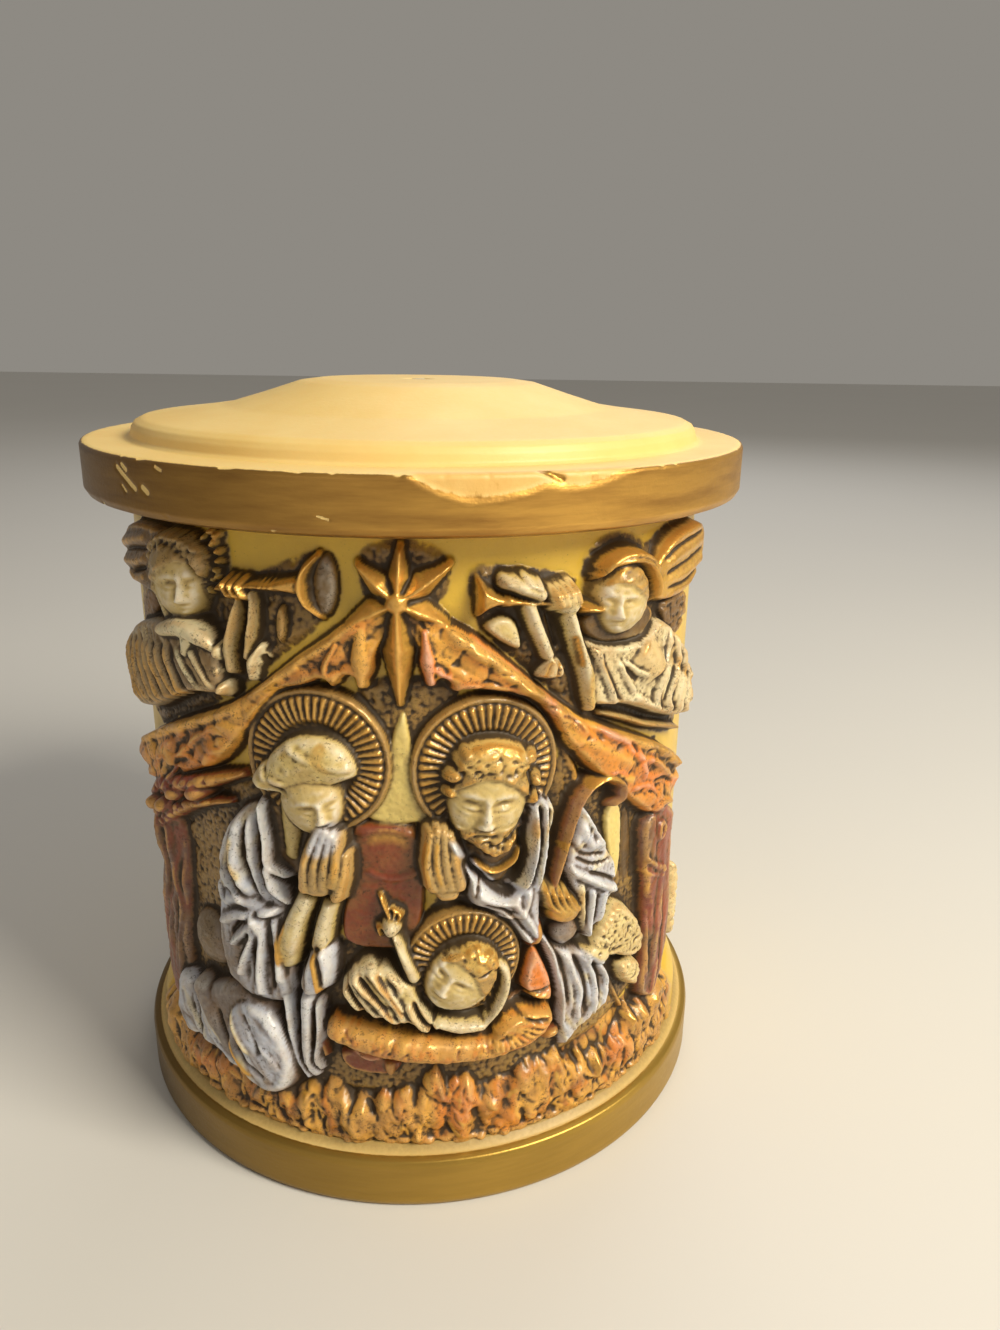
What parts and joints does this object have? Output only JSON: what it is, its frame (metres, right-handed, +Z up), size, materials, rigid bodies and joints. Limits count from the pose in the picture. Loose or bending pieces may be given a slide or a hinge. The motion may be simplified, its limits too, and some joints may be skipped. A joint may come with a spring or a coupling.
{
  "type": "nativity candle",
  "caption": "Round pillar candle of cast wax, with a painted nativity scene in relief on its wall, gold-edged foot and top discs, and a wick through the middle.",
  "frame": {"origin": "middle of the flat foot", "axes": "+Z up along the candle's axis; the nativity scene faces -Y"},
  "size_m": [0.11, 0.11, 0.1251],
  "materials": {
    "wax": "satin translucent cream wax, dark wash in the hollows",
    "gold_paint": "satin antique gold paint on wax",
    "wick_cotton": "braided cotton"
  },
  "bodies": {
    "root": {"candle": "wax", "wick": "wick_cotton"}
  },
  "joints": []
}
